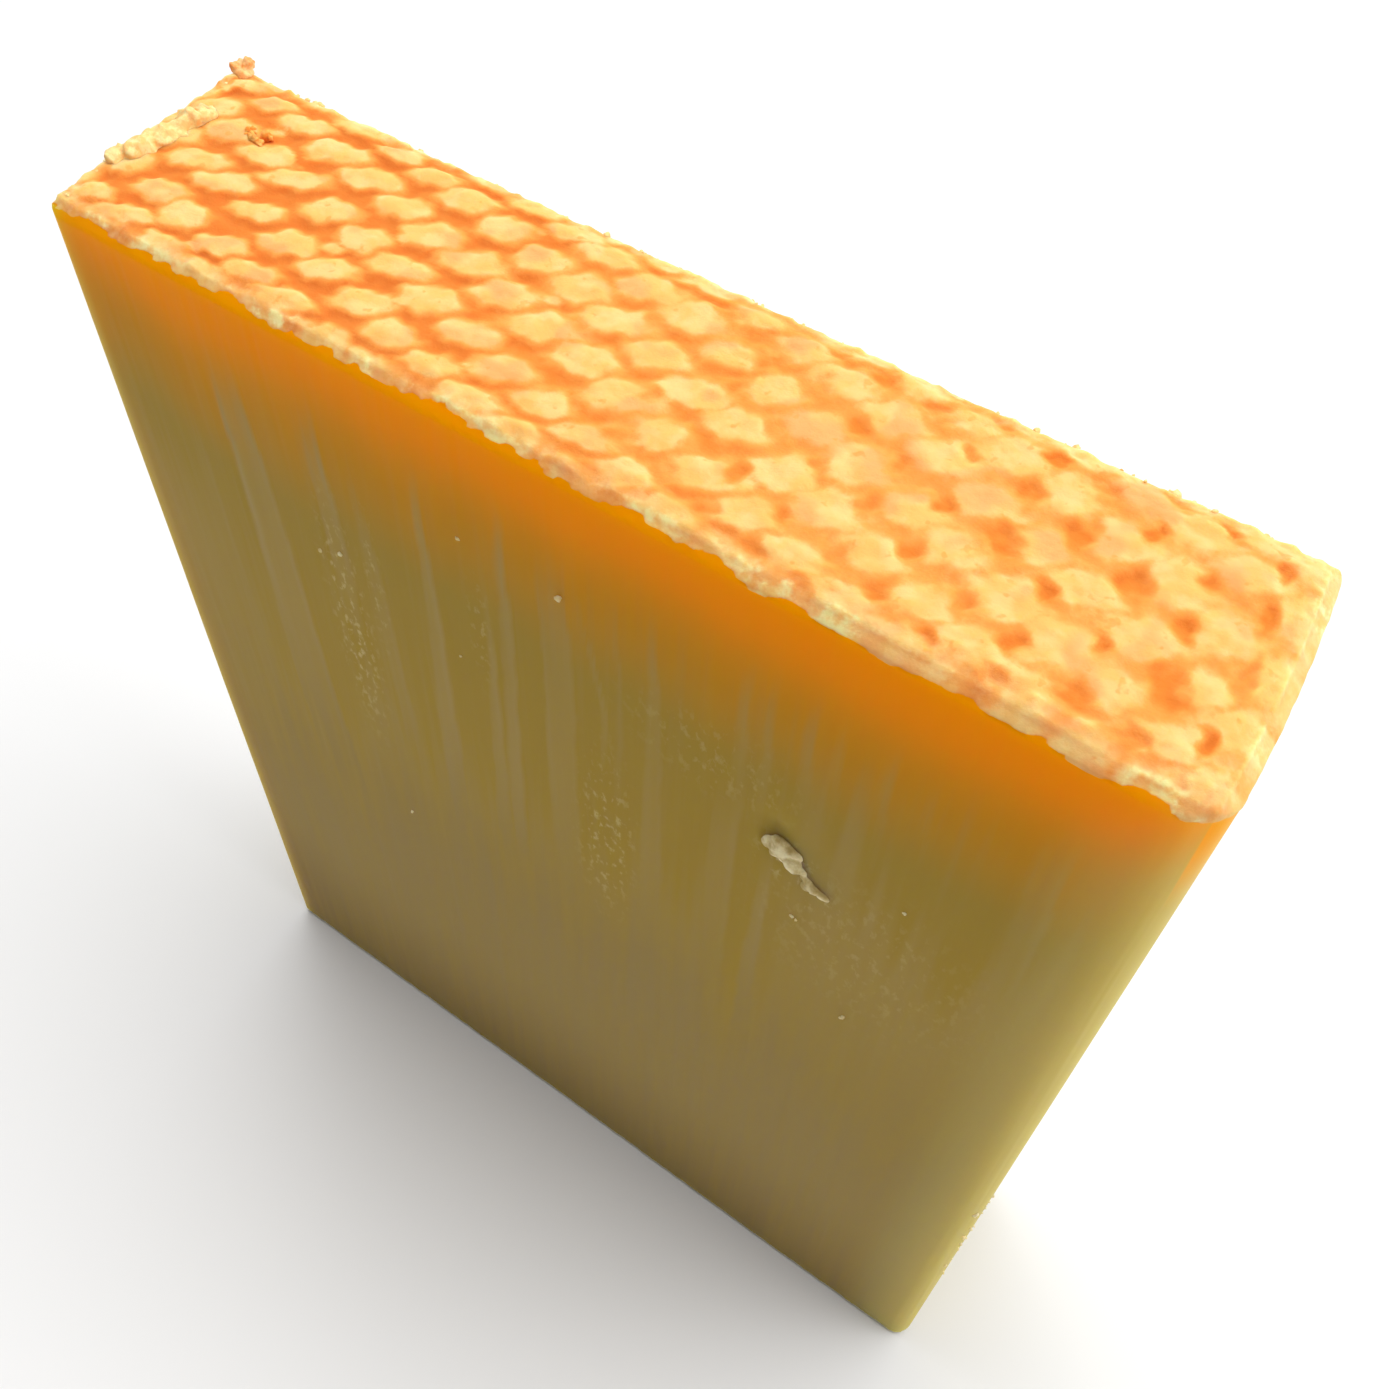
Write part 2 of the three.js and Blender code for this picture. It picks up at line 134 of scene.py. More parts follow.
def print_height(x, y):
    """Height of the cloth's print, from 0 in its grooves to 1 on its lobes, and its colour's tone."""
    wavy_x = x + slack(SLACK_ALONG, x, y) + FRAY_ALONG * grain(x / FRAY_CELL, y / FRAY_CELL, 71)
    wavy_y = y + slack(SLACK_ACROSS, x, y) + FRAY_ACROSS * grain(x / FRAY_CELL, y / FRAY_CELL, 72)
    frayed_x, frayed_y = grain(x / 0.8, y / 0.8, 73), grain(x / 0.9, y / 0.9, 74)
    raised, crowns, sunk, stained = (np.zeros_like(x) for _ in range(4))
    for i in PRINT_COLUMNS:
        along = PRINT_STEP * i
        middle_x = PRINT_START[0] + along
        base = PRINT_START[1] - PRINT_SLOPE * along - PRINT_SLOPE_GROWTH * along**2
        pitch = PRINT_PITCH + PRINT_PITCH_GROWTH * along
        merging = min(max((middle_x - MERGE_START) / MERGE_RUN, 0), 1)
        for j in PRINT_ROWS:
            middle_y = base + j * pitch
            if abs(middle_y) > PRINT_REACH:
                continue
            s = [scatter(i, j, k) for k in range(7)]
            turn = math.radians(LOBE_TURN + LOBE_TURN_SPREAD * s[4])
            length = (LOBE_LENGTH + 0.1 * merging) * (0.86 + 0.28 * s[2])
            narrow = LOBE_BREADTH * (0.92 + 0.42 * s[3]) * (1.08 + 0.16 * merging)
            breadth = (LOBE_BREADTH + LOBE_BROADENING * merging) * (0.88 + 0.24 * s[3])
            dx = wavy_x - middle_x - (s[0] - 0.5) * LOBE_STRAY_X
            dy = wavy_y - middle_y - (s[1] - 0.5) * LOBE_STRAY_Y
            u = (dx * math.cos(turn) + dy * math.sin(turn)) / length
            v = dy * math.cos(turn) - dx * math.sin(turn)
            raised += np.exp(-LOBE_STEEPNESS * (u * u + (v / breadth) ** 2) ** 2)
            reach = (u / (1.1 + 0.36 * s[1])) ** 2 + ((v + CROWN_SKEW * u) / narrow) ** 2
            crowns = np.maximum(crowns, np.exp(-CROWN_STEEPNESS * reach**CROWN_POWER))
            if s[6] > ISLETS_ABOVE:
                islet_x = dx - PRINT_STEP / 2 - s[2]
                islet_y = dy - pitch / 2 + 0.9 - 0.6 * s[5]
                islet = (islet_x**2 + 2.2 * islet_y**2) / ISLET_SIZE
                crowns = np.maximum(crowns, (0.5 + 0.4 * s[0]) * np.exp(-(islet**1.2)))
            size = 0.55 + 0.65 * s[5] * s[6]
            u = (wavy_x - middle_x - PRINT_STEP / 2 - (s[5] - 0.5) * 0.7) / size
            v = (wavy_y - middle_y - pitch / 2 + 0.6 - (s[6] - 0.5) * 0.8) / (1.35 * size)
            u, v = u + 0.35 * frayed_x, v + 0.3 * frayed_y
            sunk += merging * np.exp(-((u * u + v * v) ** 2))
            stained += merging * (0.5 + 0.7 * s[2]) * np.exp(-0.42 * (u * u + v * v) ** 1.3)
    open_hollow = 1 - np.minimum(sunk, HOLLOW_LIMIT)
    crowns = smooth(crowns, 0.02, 0.86)
    between = GROOVE_PALING * np.clip((x - PALING_START) / PALING_RUN, 0, 1)
    tone = (crowns + (1 - crowns) * between) * (1 - np.minimum(stained, HOLLOW_LIMIT))
    for start, end in zip(CRACK, CRACK[1:]):
        run, rise = end[0] - start[0], end[1] - start[1]
        way = np.clip(((x - start[0]) * run + (y - start[1]) * rise) / (run**2 + rise**2), 0, 1)
        away = np.hypot(x - start[0] - way * run, y - start[1] - way * rise + 0.15 * frayed_y)
        tone *= smooth(away, *CRACK_EDGES)
    return (1 - np.exp(-LOBE_FULLNESS * raised)) * open_hollow, tone


def round_corner(x, y, up, inset):
    """Pulls points of the square slab onto its rounded upright corners."""
    half_x, half_y = WIDTH / 2 - inset, DEPTH / 2 - inset
    x = np.clip(x, -half_x, half_x)
    y = np.clip(y, -half_y, half_y)
    radius = np.zeros_like(x)
    for (side_x, side_y), size in CORNERS.items():
        radius[(np.where(x < 0, -1, 1) == side_x) & (np.where(y < 0, -1, 1) == side_y)] = size
    radius = radius * (CORNER_AT_FOOT + (1 - CORNER_AT_FOOT) * up)
    inner_x = np.clip(x, radius - half_x, half_x - radius)
    inner_y = np.clip(y, radius - half_y, half_y - radius)
    reach = np.maximum(np.hypot(x - inner_x, y - inner_y), 1e-9)
    pull = np.minimum(radius / reach, 1)
    return inner_x + (x - inner_x) * pull, inner_y + (y - inner_y) * pull


def cut_shape(x, y, z):
    """Moves points of the square slab to their place in the slab as it was cut."""
    right, back, up = x / WIDTH + 0.5, y / DEPTH + 0.5, z / HEIGHT
    middle_x, middle_y = 1 - (2 * right - 1) ** 2, 1 - (2 * back - 1) ** 2
    wave = FACE_WAVE * grain(x / 23 + 7, z / 31 + 3, 11) * (2 * back - 1)
    rise = back * (BACK_RISE_LEFT + (BACK_RISE_RIGHT - BACK_RISE_LEFT) * right)
    cut_x = x - (LEFT_SKEW + (RIGHT_SKEW - LEFT_SKEW) * right) * back
    cut_x += FOOT_NARROWING * (1 - up) * (1 - right)
    cut_x += (-LEFT_BOW + (RIGHT_BOW + LEFT_BOW) * right) * middle_y
    cut_y = y + DEPTH_TAPER * (back - FRONT_SHARE) * (right - 0.5)
    cut_y -= (1 - up) * (FOOT_TWIST * (right - 0.5) - FOOT_SHIFT)
    cut_y += BACK_BOW * back * middle_x + wave
    return cut_x + MIDDLE[0], cut_y + MIDDLE[1], z + up * (rise + RIGHT_RISE * right)


# A flat grid at the rind's place, whose edge is extruded down to the foot in ever larger steps
bpy.ops.object.select_all(action="DESELECT")
bpy.ops.mesh.primitive_grid_add(
    x_subdivisions=COLUMNS,
    y_subdivisions=ROWS,
    size=1,
    location=(0, 0, HEIGHT / 1000),
)
block = bpy.context.object
block.name = "cheese_block"
bpy.ops.object.mode_set(mode="EDIT")
bpy.ops.transform.resize(value=(WIDTH / 1000, DEPTH / 1000, 1))
bpy.ops.mesh.select_mode(type="EDGE")
bpy.ops.mesh.select_all(action="DESELECT")
bpy.ops.mesh.select_non_manifold()

LEVEL_DEPTHS, LEVEL_STEPS = (3.5, 11, 58, 66), (0.25, 1.4, 1.4, 3.3)
drops = [0]
while drops[-1] < HEIGHT - FOOT_EDGE - 0.5:
    step = np.interp(drops[-1], LEVEL_DEPTHS, LEVEL_STEPS)
    drops.append(min(drops[-1] + step, HEIGHT - FOOT_EDGE))
drops += [HEIGHT - FOOT_EDGE * share for share in (0.6, 0.3, 0.1, 0)]
for upper, lower in zip(drops, drops[1:]):
    bpy.ops.mesh.extrude_edges_move(
        TRANSFORM_OT_translate={"value": (0, 0, (upper - lower) / 1000)}
    )
for share in (0.9, 0.7, 0.4):
    bpy.ops.mesh.extrude_edges_move(TRANSFORM_OT_translate={"value": (0, 0, 0)})
    bpy.ops.transform.resize(value=(0.97, share, 1))
bpy.ops.mesh.edge_face_add()
bpy.ops.mesh.select_all(action="SELECT")
bpy.ops.mesh.normals_make_consistent(inside=False)
bpy.ops.object.mode_set(mode="OBJECT")
bpy.ops.object.transform_apply(location=True, rotation=True, scale=True)

# Haze that the blade dragged down the front face, as pale streaks: the middle and the breadth at the
# upper end, the middle and the breadth at the lower end, the heights of both ends, and the strength
STREAKS = (
    (-35.5, 0.6, -36.0, 2.8, 95.2, 56, 0.5),
    (-29.9, 2.8, -28.8, 6.0, 106, 48, 1.0),
    (-21.6, 1.7, -21.4, 2.0, 105, 88, 1.0),
    (-18.0, 1.2, -16.9, 1.8, 96, 68, 0.75),
    (-20.5, 2.5, -19.3, 6.5, 73, 48, 0.55),
    (-11.4, 0.6, -12.2, 3.0, 106, 50, 1.0),
    (-3.8, 0.8, -4.7, 1.7, 109, 60, 0.9),
    (-5.8, 0.5, -6.6, 2.0, 92, 56, 0.8),
    (0.6, 2.6, 0.8, 3.3, 101.5, 52, 0.7),
    (3.1, 0.35, 4.8, 0.5, 98, 88.5, 0.8),
    (6.2, 0.4, 6.2, 0.6, 103, 86, 0.4),
    (9.2, 0.8, 9.8, 2.9, 102, 50, 0.7),
    (16.0, 2.3, 16.0, 2.8, 87, 54, 0.6),
    (16.9, 0.8, 16.6, 1.0, 105, 94, 0.6),
    (20.0, 0.9, 19.7, 2.2, 81, 50, 0.85),
    (18.6, 0.8, 18.6, 0.9, 104, 93, 0.5),
    (21.7, 0.8, 21.7, 1.0, 105, 96, 0.6),
    (23.9, 0.7, 23.9, 0.9, 105, 97, 0.45),
    (27.6, 0.8, 27.6, 0.8, 104, 98, 0.5),
    (30.7, 0.6, 30.7, 0.6, 104, 96, 0.35),
    (38.8, 2.0, 38.8, 2.4, 105, 60, 0.55),
    (33.5, 1.4, 33.7, 1.8, 74, 54, 0.4),
)
# Patches where the blade tore the face into small flakes: middle, half breadth, half height, strength
TORN_PATCHES = (
    (21.5, 82.8, 2.4, 2.6, 1.0),
    (24.2, 80.6, 1.6, 2.0, 0.8),
    (-21.6, 79, 2.0, 13.5, 1.0),
    (-17.8, 87, 0.9, 8, 0.6),
    (5.0, 70, 2.6, 11, 0.9),
    (-6.8, 89, 1.0, 6, 0.5),
    (29.5, 76, 9, 9, 0.35),
    (14.5, 90.5, 7, 4, 0.4),
)
NICK = (20.2, 85.7)  # where the blade caught and tore a crumb out
NICK_SIZE = (1.6, 0.8)
NICK_DEPTH = 0.55
HAZE_THICKNESS, FLAKE_RELIEF = 0.06, 0.09
HAZE_ELSEWHERE = 0.6  # on the faces that have no streaks


def streak_haze(x, z):
    """Strength of the dragged haze on the front face, from 0 to 1."""
    wander = 0.25 * grain(z / 9, 0 * z, 51) + 0.12 * grain(z / 2.3, 0 * z, 52)
    wander += 0.1 * grain(x / 0.4, z / 3, 56)
    haze = np.zeros_like(x)
    for top_x, top_breadth, low_x, low_breadth, top_z, low_z, strength in STREAKS:
        way = np.clip((top_z - z) / (top_z - low_z), 0, 1)
        half = (top_breadth + (low_breadth - top_breadth) * way) / 2
        across = x - top_x - (low_x - top_x) * way + wander
        body = smooth(across, -half - 0.25, -half + 0.3) * (1 - smooth(across, half - 0.2, half + 0.2))
        heaped = 0.25 * np.exp(-(((across - half + 0.3) / 0.3) ** 2))
        body *= 0.72 + 0.28 * grain(across / 0.75, z / 30, 55) + heaped
        ends = (1 - smooth(z, top_z - 7, top_z + 2)) * smooth(z, low_z - 9, low_z + 3)
        ends = (0.25 + 0.75 * ends) * (z < top_z + 2) * (z > low_z - 9)
        haze = np.maximum(haze, strength * body * ends)
    fingers = 5 * grain(x / 2.1, 0 * x, 53) + 3 * grain(x / 0.8, 0 * x, 54)
    field = 0.9 * (1 - smooth(z + 1.6 * fingers, 40, 70))
    field = np.maximum(field, 0.5 * smooth(x, 18, 26) * (1 - smooth(z + 2 * fingers, 78, 92)))
    field = np.maximum(field, 0.45 * (1 - smooth(x, -40, -31)) * (1 - smooth(z + fingers, 80, 98)))
    return np.maximum(haze, field)


def torn(x, z):
    """Where the front face is torn into flakes, from 0 to 1."""
    cover = np.zeros_like(x)
    for middle_x, middle_z, half_x, half_z, strength in TORN_PATCHES:
        reach = ((x - middle_x) / half_x) ** 2 + ((z - middle_z) / half_z) ** 2
        cover = np.maximum(cover, strength * np.exp(-(reach**1.5)))
    return cover


# The points of the plain box are moved to their place in the printed, crumbled and cut slab
points = np.zeros(len(block.data.vertices) * 3)
block.data.vertices.foreach_get("co", points)
x, y, z = (points.reshape(-1, 3) * 1000).T
drop = HEIGHT - z
side_x = (np.abs(x) > WIDTH / 2 - 0.01) * np.sign(x)
side_y = (np.abs(y) > DEPTH / 2 - 0.01) * np.sign(y)
on_wall = (side_x != 0) | (side_y != 0)
on_top = drop < 0.01
on_front = (side_y < 0) & ~on_top

# Distance round the slab from the back left corner, for what runs along its rim
round_slab = np.where(side_y > 0, x + WIDTH / 2, 0.0)
round_slab = np.where((side_x > 0) & (side_y == 0), WIDTH + DEPTH / 2 - y, round_slab)
round_slab = np.where(side_y < 0, WIDTH * 1.5 + DEPTH - x, round_slab)
round_slab = np.where((side_x < 0) & (side_y == 0), 2 * WIDTH + 1.5 * DEPTH + y, round_slab)

raised, tone = print_height(x, y)
fine = 0.1 * grain(x / 1.3, y / 1.1, 5) + 0.06 * grain(x / 0.6, y / 0.55, 6)
inside = np.minimum(WIDTH / 2 - np.abs(x), DEPTH / 2 - np.abs(y))
rim_patches = grain(round_slab / 2.9, 0 * x, 24) + 0.6 * grain(round_slab / 1.2, 0 * x, 25)
rim_patches = smooth(rim_patches, -0.5, 0.6)
edge_breadth = 0.9 + 1.1 * rim_patches + 0.5 * smooth(x, -10, 30)
broken = 1 - smooth(inside + 0.5 * grain(x / 1.4, y / 1.4, 22), 0.1, edge_breadth)
crumbly = 0.13 * grain(x / 0.9, y / 0.9, 21) + 0.1 * grain(x / 0.5, y / 0.5, 23)
slope = RIM_DROP * (1 - smooth(inside, -0.6, 2.0))
near_rim = (0.7 - 0.3 * smooth(x, -15, 15)) * (1 - smooth(inside, 0.1, 1.9))
raised += (0.7 - raised) * near_rim
tone += (0.75 - tone) * 0.5 * near_rim
lifted = z + on_top * (PRINT_BED + PRINT_DEPTH * raised + fine + broken * crumbly - slope)

# The rind's broken edge stands a little proud and ends in a ragged line on the paste, which is
# smoother towards the right end
smoother = 1 - 0.45 * smooth(x, -15, 20)
ragged_line = 0.18 * grain(round_slab / 1.1, 0 * x, 32) + 0.1 * grain(round_slab / 0.5, 0 * x, 33)
rind_line = RIND_THICKNESS + 0.22 * grain(round_slab / 3.1, 0 * x, 31) + smoother * ragged_line
rind_line += 0.22 * smooth(x, -15, 30) * (1 + grain(round_slab / 2.3, 0 * x, 34))
on_right_end = smooth(round_slab, 88, 92) * (1 - smooth(round_slab, 109, 117))
rind_line += RIND_EXTRA_AT_RIGHT * on_right_end
rind_cover = np.where(on_wall, 1 - smooth(drop, rind_line - 0.15, rind_line + 0.15), on_top)
rough = 0.55 * grain(round_slab / 0.9, z / 0.7, 17) + 0.45 * grain(round_slab / 0.45, z / 0.4, 18)
out = rind_cover * (RIM_OVERHANG + RIM_ROUGHNESS * smoother * rough)

# Drag marks, torn flakes and the nick in the front face
haze = np.where(on_front, streak_haze(x, z), HAZE_ELSEWHERE)
flakes = np.where(on_front, torn(x, z), 0)
nick_reach = ((x - NICK[0]) / NICK_SIZE[0]) ** 2 + ((z - NICK[1]) / NICK_SIZE[1]) ** 2
nick = np.where(on_front, np.exp(-(nick_reach**1.5)), 0)
ripple = 0.03 * grain(x / 0.7, z / 14, 61) + 0.02 * grain(x / 0.35, z / 9, 62)
torn_grain = FLAKE_RELIEF * grain(x / 0.5, z / 1.4, 63) * flakes
out += np.where(on_front, HAZE_THICKNESS * haze + ripple + torn_grain - NICK_DEPTH * nick, 0)

inset = FOOT_EDGE - np.sqrt(np.maximum(FOOT_EDGE**2 - np.maximum(FOOT_EDGE - z, 0) ** 2, 0))
lean = RIM_SLOPE * (1 - smooth(drop, -0.2, RIM_HEIGHT))
lean_x = lean * (1 - smooth(WIDTH / 2 - np.abs(x), 0, RIM_REACH)) * np.sign(x)
lean_y = lean * (1 - smooth(DEPTH / 2 - np.abs(y), 0, RIM_REACH)) * np.sign(y)
flat_x, flat_y = round_corner(x - lean_x, y - lean_y, z / HEIGHT, np.where(on_wall, inset, 0))
reach = np.hypot(flat_x / WIDTH, flat_y / DEPTH) + 1e-9
toward_x = np.where(side_x != 0, side_x, 0.3 * flat_x / WIDTH / reach)
toward_y = np.where(side_y != 0, side_y, 0.3 * flat_y / DEPTH / reach)
toward = np.hypot(toward_x, toward_y) + 1e-9
flat_x = flat_x + np.where(on_wall, out * toward_x / toward, 0)
flat_y = flat_y + np.where(on_wall, out * toward_y / toward, 0)
placed = np.stack(cut_shape(flat_x, flat_y, lifted), 1) / 1000
block.data.vertices.foreach_set("co", placed.ravel())

# Where the surface pattern has each of its looks
BAND_RISE_LEFT, BAND_RISE_RIGHT = 3.5, 4  # how much nearer to the rind the orange band ends
# Painted glow: the front's paste is painted paler towards both ends of the slab, where light shines
# through its thin ends
painted_edge_glow = np.maximum(smooth(x, 36.5, 46), 0.55 * smooth(-x, 43, 46))
band_rise = BAND_RISE_LEFT * (1 - smooth(x, -45, -33)) + BAND_RISE_RIGHT * smooth(x, 40, 45.5)
broken_cover = np.where(on_wall & ~on_top, rind_cover, broken)
masks = {
    "tone": tone,
    "rind": rind_cover,
    "broken": broken_cover * (0.25 + 0.5 * rim_patches),
    "drop": drop + np.where(on_front, band_rise, 0),
    "haze": haze,
    "flakes": flakes,
    "nick": nick,
    "edge": np.where(on_wall & (side_y <= 0), painted_edge_glow, 0),
}
for name, values in masks.items():
    layer = block.data.attributes.new(name, "FLOAT", "POINT")
    layer.data.foreach_set("value", np.asarray(values, float))
block.data.update()
bpy.ops.object.shade_smooth()


# Helpers for the shader nodes of the cheese and its crumbs
def add_node(tree, kind, **settings):
    made = tree.nodes.new(kind)
    for name, value in settings.items():
        setattr(made, name, value)
    return made


def feed(tree, socket, value):
    if isinstance(value, bpy.types.NodeSocket):
        tree.links.new(value, socket)
    else:
        socket.default_value = value


def mix(tree, factor, first, second):
    made = add_node(tree, "ShaderNodeMix", data_type="RGBA")
    for place, value in zip((0, 6, 7), (factor, first, second)):
        feed(tree, made.inputs[place], value)
    return made.outputs[2]


def math_node(tree, operation, first, second, clamp=False):
    made = add_node(tree, "ShaderNodeMath", operation=operation, use_clamp=clamp)
    feed(tree, made.inputs[0], first)
    feed(tree, made.inputs[1], second)
    return made.outputs[0]


def multiply_add(tree, value, factor, added):
    made = add_node(tree, "ShaderNodeMath", operation="MULTIPLY_ADD")
    for socket, number in zip(made.inputs, (value, factor, added)):
        feed(tree, socket, number)
    return made.outputs[0]


def ramp(tree, value, low, high, bottom=0.0, top=1.0):
    made = add_node(tree, "ShaderNodeMapRange", interpolation_type="SMOOTHSTEP")
    names = ("Value", "From Min", "From Max", "To Min", "To Max")
    for name, number in zip(names, (value, low, high, bottom, top)):
        feed(tree, made.inputs[name], number)
    return made.outputs["Result"]


def noise(tree, place, scale, detail=2.0, roughness=0.5):
    made = add_node(tree, "ShaderNodeTexNoise")
    feed(tree, made.inputs["Vector"], place)
    made.inputs["Scale"].default_value = scale
    made.inputs["Detail"].default_value = detail
    made.inputs["Roughness"].default_value = roughness
    return made.outputs["Fac"]


def stretched(tree, place, scale):
    made = add_node(tree, "ShaderNodeMapping")
    feed(tree, made.inputs["Vector"], place)
    made.inputs["Scale"].default_value = scale
    return made.outputs["Vector"]


def attribute(tree, name):
    return add_node(tree, "ShaderNodeAttribute", attribute_name=name).outputs["Fac"]


# Colours of the dry rind, from its grooves to the crowns of the lobes, and of the waxy paste
GROOVE_LEFT = (0.74, 0.205, 0.036, 1)
GROOVE_RIGHT = (0.787, 0.245, 0.0394, 1)
LOBE_FLANK = (0.875, 0.35, 0.0788, 1)
LOBE = (0.875, 0.499, 0.149, 1)
LOBE_CROWN = (0.875, 0.569, 0.219, 1)
LOBE_PEACH = (0.875, 0.42, 0.149, 1)
BROKEN_EDGE = (0.95, 0.57, 0.19, 1)
BROKEN_PALE = (1.0, 0.8, 0.38, 1)
# The orange band is partly the paste's own colour under the rind and partly painted glow of the light
# that shines in through the rind
BAND_WITH_PAINTED_GLOW = (1, 0.325, 0, 1)
UNDER_BAND_WITH_PAINTED_GLOW = (0.63, 0.275, 0.01, 1)
OLIVE = (0.403, 0.263, 0.0394, 1)
HAZE_HIGH = (0.438, 0.306, 0.109, 1)
HAZE_LOW = (0.346, 0.241, 0.0875, 1)
HAZE_FOOT = (0.28, 0.188, 0.07, 1)
FLAKE = (0.578, 0.438, 0.166, 1)
NICK_SHADE = (0.315, 0.201, 0.0262, 1)
# Painted glow: paler paste near the front's ends, standing in for light shining through them
PAINTED_END_GLOW = (0.578, 0.481, 0.149, 1)

# Depths under the rind, in millimetres, over which the paste's colours change
BAND_ENDS, UNDER_BAND_ENDS, HAZE_STARTS = (0.5, 12), (9, 21), (4, 15)
HAZE_DULLS, HAZE_BROWNS = (32, 62), (82, 108)

# Grain of each pattern, in cells to the metre
RAGGED_GRAIN, CROWN_GRAIN, PEACH_GRAIN, FRECKLE_GRAIN = 1300, 420, 230, 900
PATCH_GRAIN, CRUMBLY_GRAIN, DRY_GRAIN = 480, 900, 2600
BAND_GRAIN, STREAK_GRAIN, SPECKLE_GRAIN = 90, 900, 1500

# One surface pattern serves the dry rind and the waxy paste, so that nothing jumps where they meet
pattern = bpy.data.node_groups.new("cheese_surface", "ShaderNodeTree")
for name in ("Rind", "Tone", "Broken", "Drop", "Haze", "Flakes", "Nick", "Edge"):
    pattern.interface.new_socket(name=name, in_out="INPUT", socket_type="NodeSocketFloat")
pattern.interface.new_socket(name="Color", in_out="OUTPUT", socket_type="NodeSocketColor")
pattern.interface.new_socket(name="Roughness", in_out="OUTPUT", socket_type="NodeSocketFloat")
pattern.interface.new_socket(name="Height", in_out="OUTPUT", socket_type="NodeSocketFloat")
masks_in = pattern.nodes.new("NodeGroupInput").outputs
surface_out = pattern.nodes.new("NodeGroupOutput").inputs

place = add_node(pattern, "ShaderNodeTexCoord").outputs["Object"]
split = add_node(pattern, "ShaderNodeSeparateXYZ")
feed(pattern, split.inputs[0], place)

# Rind: ragged lobes with a soft flank, peachy and pale patches, and a crumbly pale edge
ragged = math_node(pattern, "SUBTRACT", noise(pattern, place, RAGGED_GRAIN, 3.0, 0.6), 0.5)
lobe_tone = multiply_add(pattern, ragged, 0.4, masks_in["Tone"])
groove = mix(pattern, ramp(pattern, split.outputs["X"], -0.02, 0.005), GROOVE_LEFT, GROOVE_RIGHT)
rind = mix(pattern, ramp(pattern, lobe_tone, 0.05, 0.55), groove, LOBE_FLANK)
crown = ramp(pattern, noise(pattern, place, CROWN_GRAIN, 3.0), 0.4, 0.62)
lobe = mix(pattern, crown, LOBE, LOBE_CROWN)
peach = ramp(pattern, noise(pattern, place, PEACH_GRAIN, 2.0), 0.52, 0.66)
lobe = mix(pattern, peach, lobe, LOBE_PEACH)
freckle = ramp(pattern, noise(pattern, place, FRECKLE_GRAIN, 2.0), 0.64, 0.72, 0.0, 0.6)
lobe = mix(pattern, freckle, lobe, LOBE_FLANK)
rind = mix(pattern, ramp(pattern, lobe_tone, 0.45, 0.86), rind, lobe)
patches = ramp(pattern, noise(pattern, place, PATCH_GRAIN, 4.0, 0.6), 0.38, 0.58, 0.35, 1.45)
crumb_light = ramp(pattern, noise(pattern, place, CRUMBLY_GRAIN, 3.0, 0.55), 0.36, 0.6)
edge = mix(pattern, crumb_light, BROKEN_EDGE, BROKEN_PALE)
broken_mask = math_node(pattern, "MULTIPLY", masks_in["Broken"], patches, clamp=True)
rind = mix(pattern, broken_mask, rind, edge)

# Paste: the orange band under the rind (its own colour with painted glow of light through the rind),
# the olive body, the streaks of haze and the torn flakes
uneven = noise(pattern, stretched(pattern, place, (1, 1, 0.25)), BAND_GRAIN, 2.0)
uneven = math_node(pattern, "SUBTRACT", uneven, 0.5)
band_drop = multiply_add(pattern, uneven, 5.0, masks_in["Drop"])
paste = mix(pattern, ramp(pattern, band_drop, *UNDER_BAND_ENDS), UNDER_BAND_WITH_PAINTED_GLOW, OLIVE)
fine_streaks = noise(pattern, stretched(pattern, place, (1, 1, 0.03)), STREAK_GRAIN, 3.0, 0.6)
streaky = math_node(pattern, "SUBTRACT", fine_streaks, 0.5)
haze_mask = multiply_add(pattern, streaky, 0.6, masks_in["Haze"])
below_band = ramp(pattern, band_drop, *HAZE_STARTS)
haze_mask = math_node(pattern, "MULTIPLY", haze_mask, below_band, clamp=True)
haze_colour = mix(pattern, ramp(pattern, masks_in["Drop"], *HAZE_DULLS), HAZE_HIGH, HAZE_LOW)
low_down = ramp(pattern, masks_in["Drop"], *HAZE_BROWNS)
haze_colour = mix(pattern, low_down, haze_colour, HAZE_FOOT)
paste = mix(pattern, haze_mask, paste, haze_colour)
speckle = noise(pattern, stretched(pattern, place, (1, 1, 0.55)), SPECKLE_GRAIN, 3.0, 0.6)
speckle = math_node(pattern, "MULTIPLY", ramp(pattern, speckle, 0.52, 0.68), masks_in["Flakes"])
paste = mix(pattern, speckle, paste, FLAKE)
# Painted glow: the paste is painted paler towards the front's ends, by the edge mask
paste = mix(pattern, math_node(pattern, "MULTIPLY", masks_in["Edge"], 0.68), paste, PAINTED_END_GLOW)
# The orange band: the paste's own colour under the rind, with painted glow of light coming through the
# rind
paste = mix(pattern, ramp(pattern, band_drop, *BAND_ENDS), BAND_WITH_PAINTED_GLOW, paste)
paste = mix(pattern, math_node(pattern, "MULTIPLY", masks_in["Nick"], 0.75), paste, NICK_SHADE)

rind_edge = multiply_add(pattern, ragged, 0.5, masks_in["Rind"])
rind_mask = ramp(pattern, rind_edge, 0.4, 0.6)
feed(pattern, surface_out["Color"], mix(pattern, rind_mask, paste, rind))

paste_rough = ramp(pattern, haze_mask, 0.2, 0.9, 0.38, 0.62)
rough_mix = add_node(pattern, "ShaderNodeMix", data_type="FLOAT")
feed(pattern, rough_mix.inputs[0], rind_mask)
feed(pattern, rough_mix.inputs[2], paste_rough)
feed(pattern, rough_mix.inputs[3], 0.8)
feed(pattern, surface_out["Roughness"], rough_mix.outputs[0])

dry = math_node(pattern, "MULTIPLY", noise(pattern, place, DRY_GRAIN, 4.0, 0.65), rind_mask)
paste_mask = math_node(pattern, "SUBTRACT", 1.0, rind_mask)
waxy = math_node(pattern, "MULTIPLY", fine_streaks, paste_mask)
feed(pattern, surface_out["Height"], multiply_add(pattern, waxy, 0.25, dry))


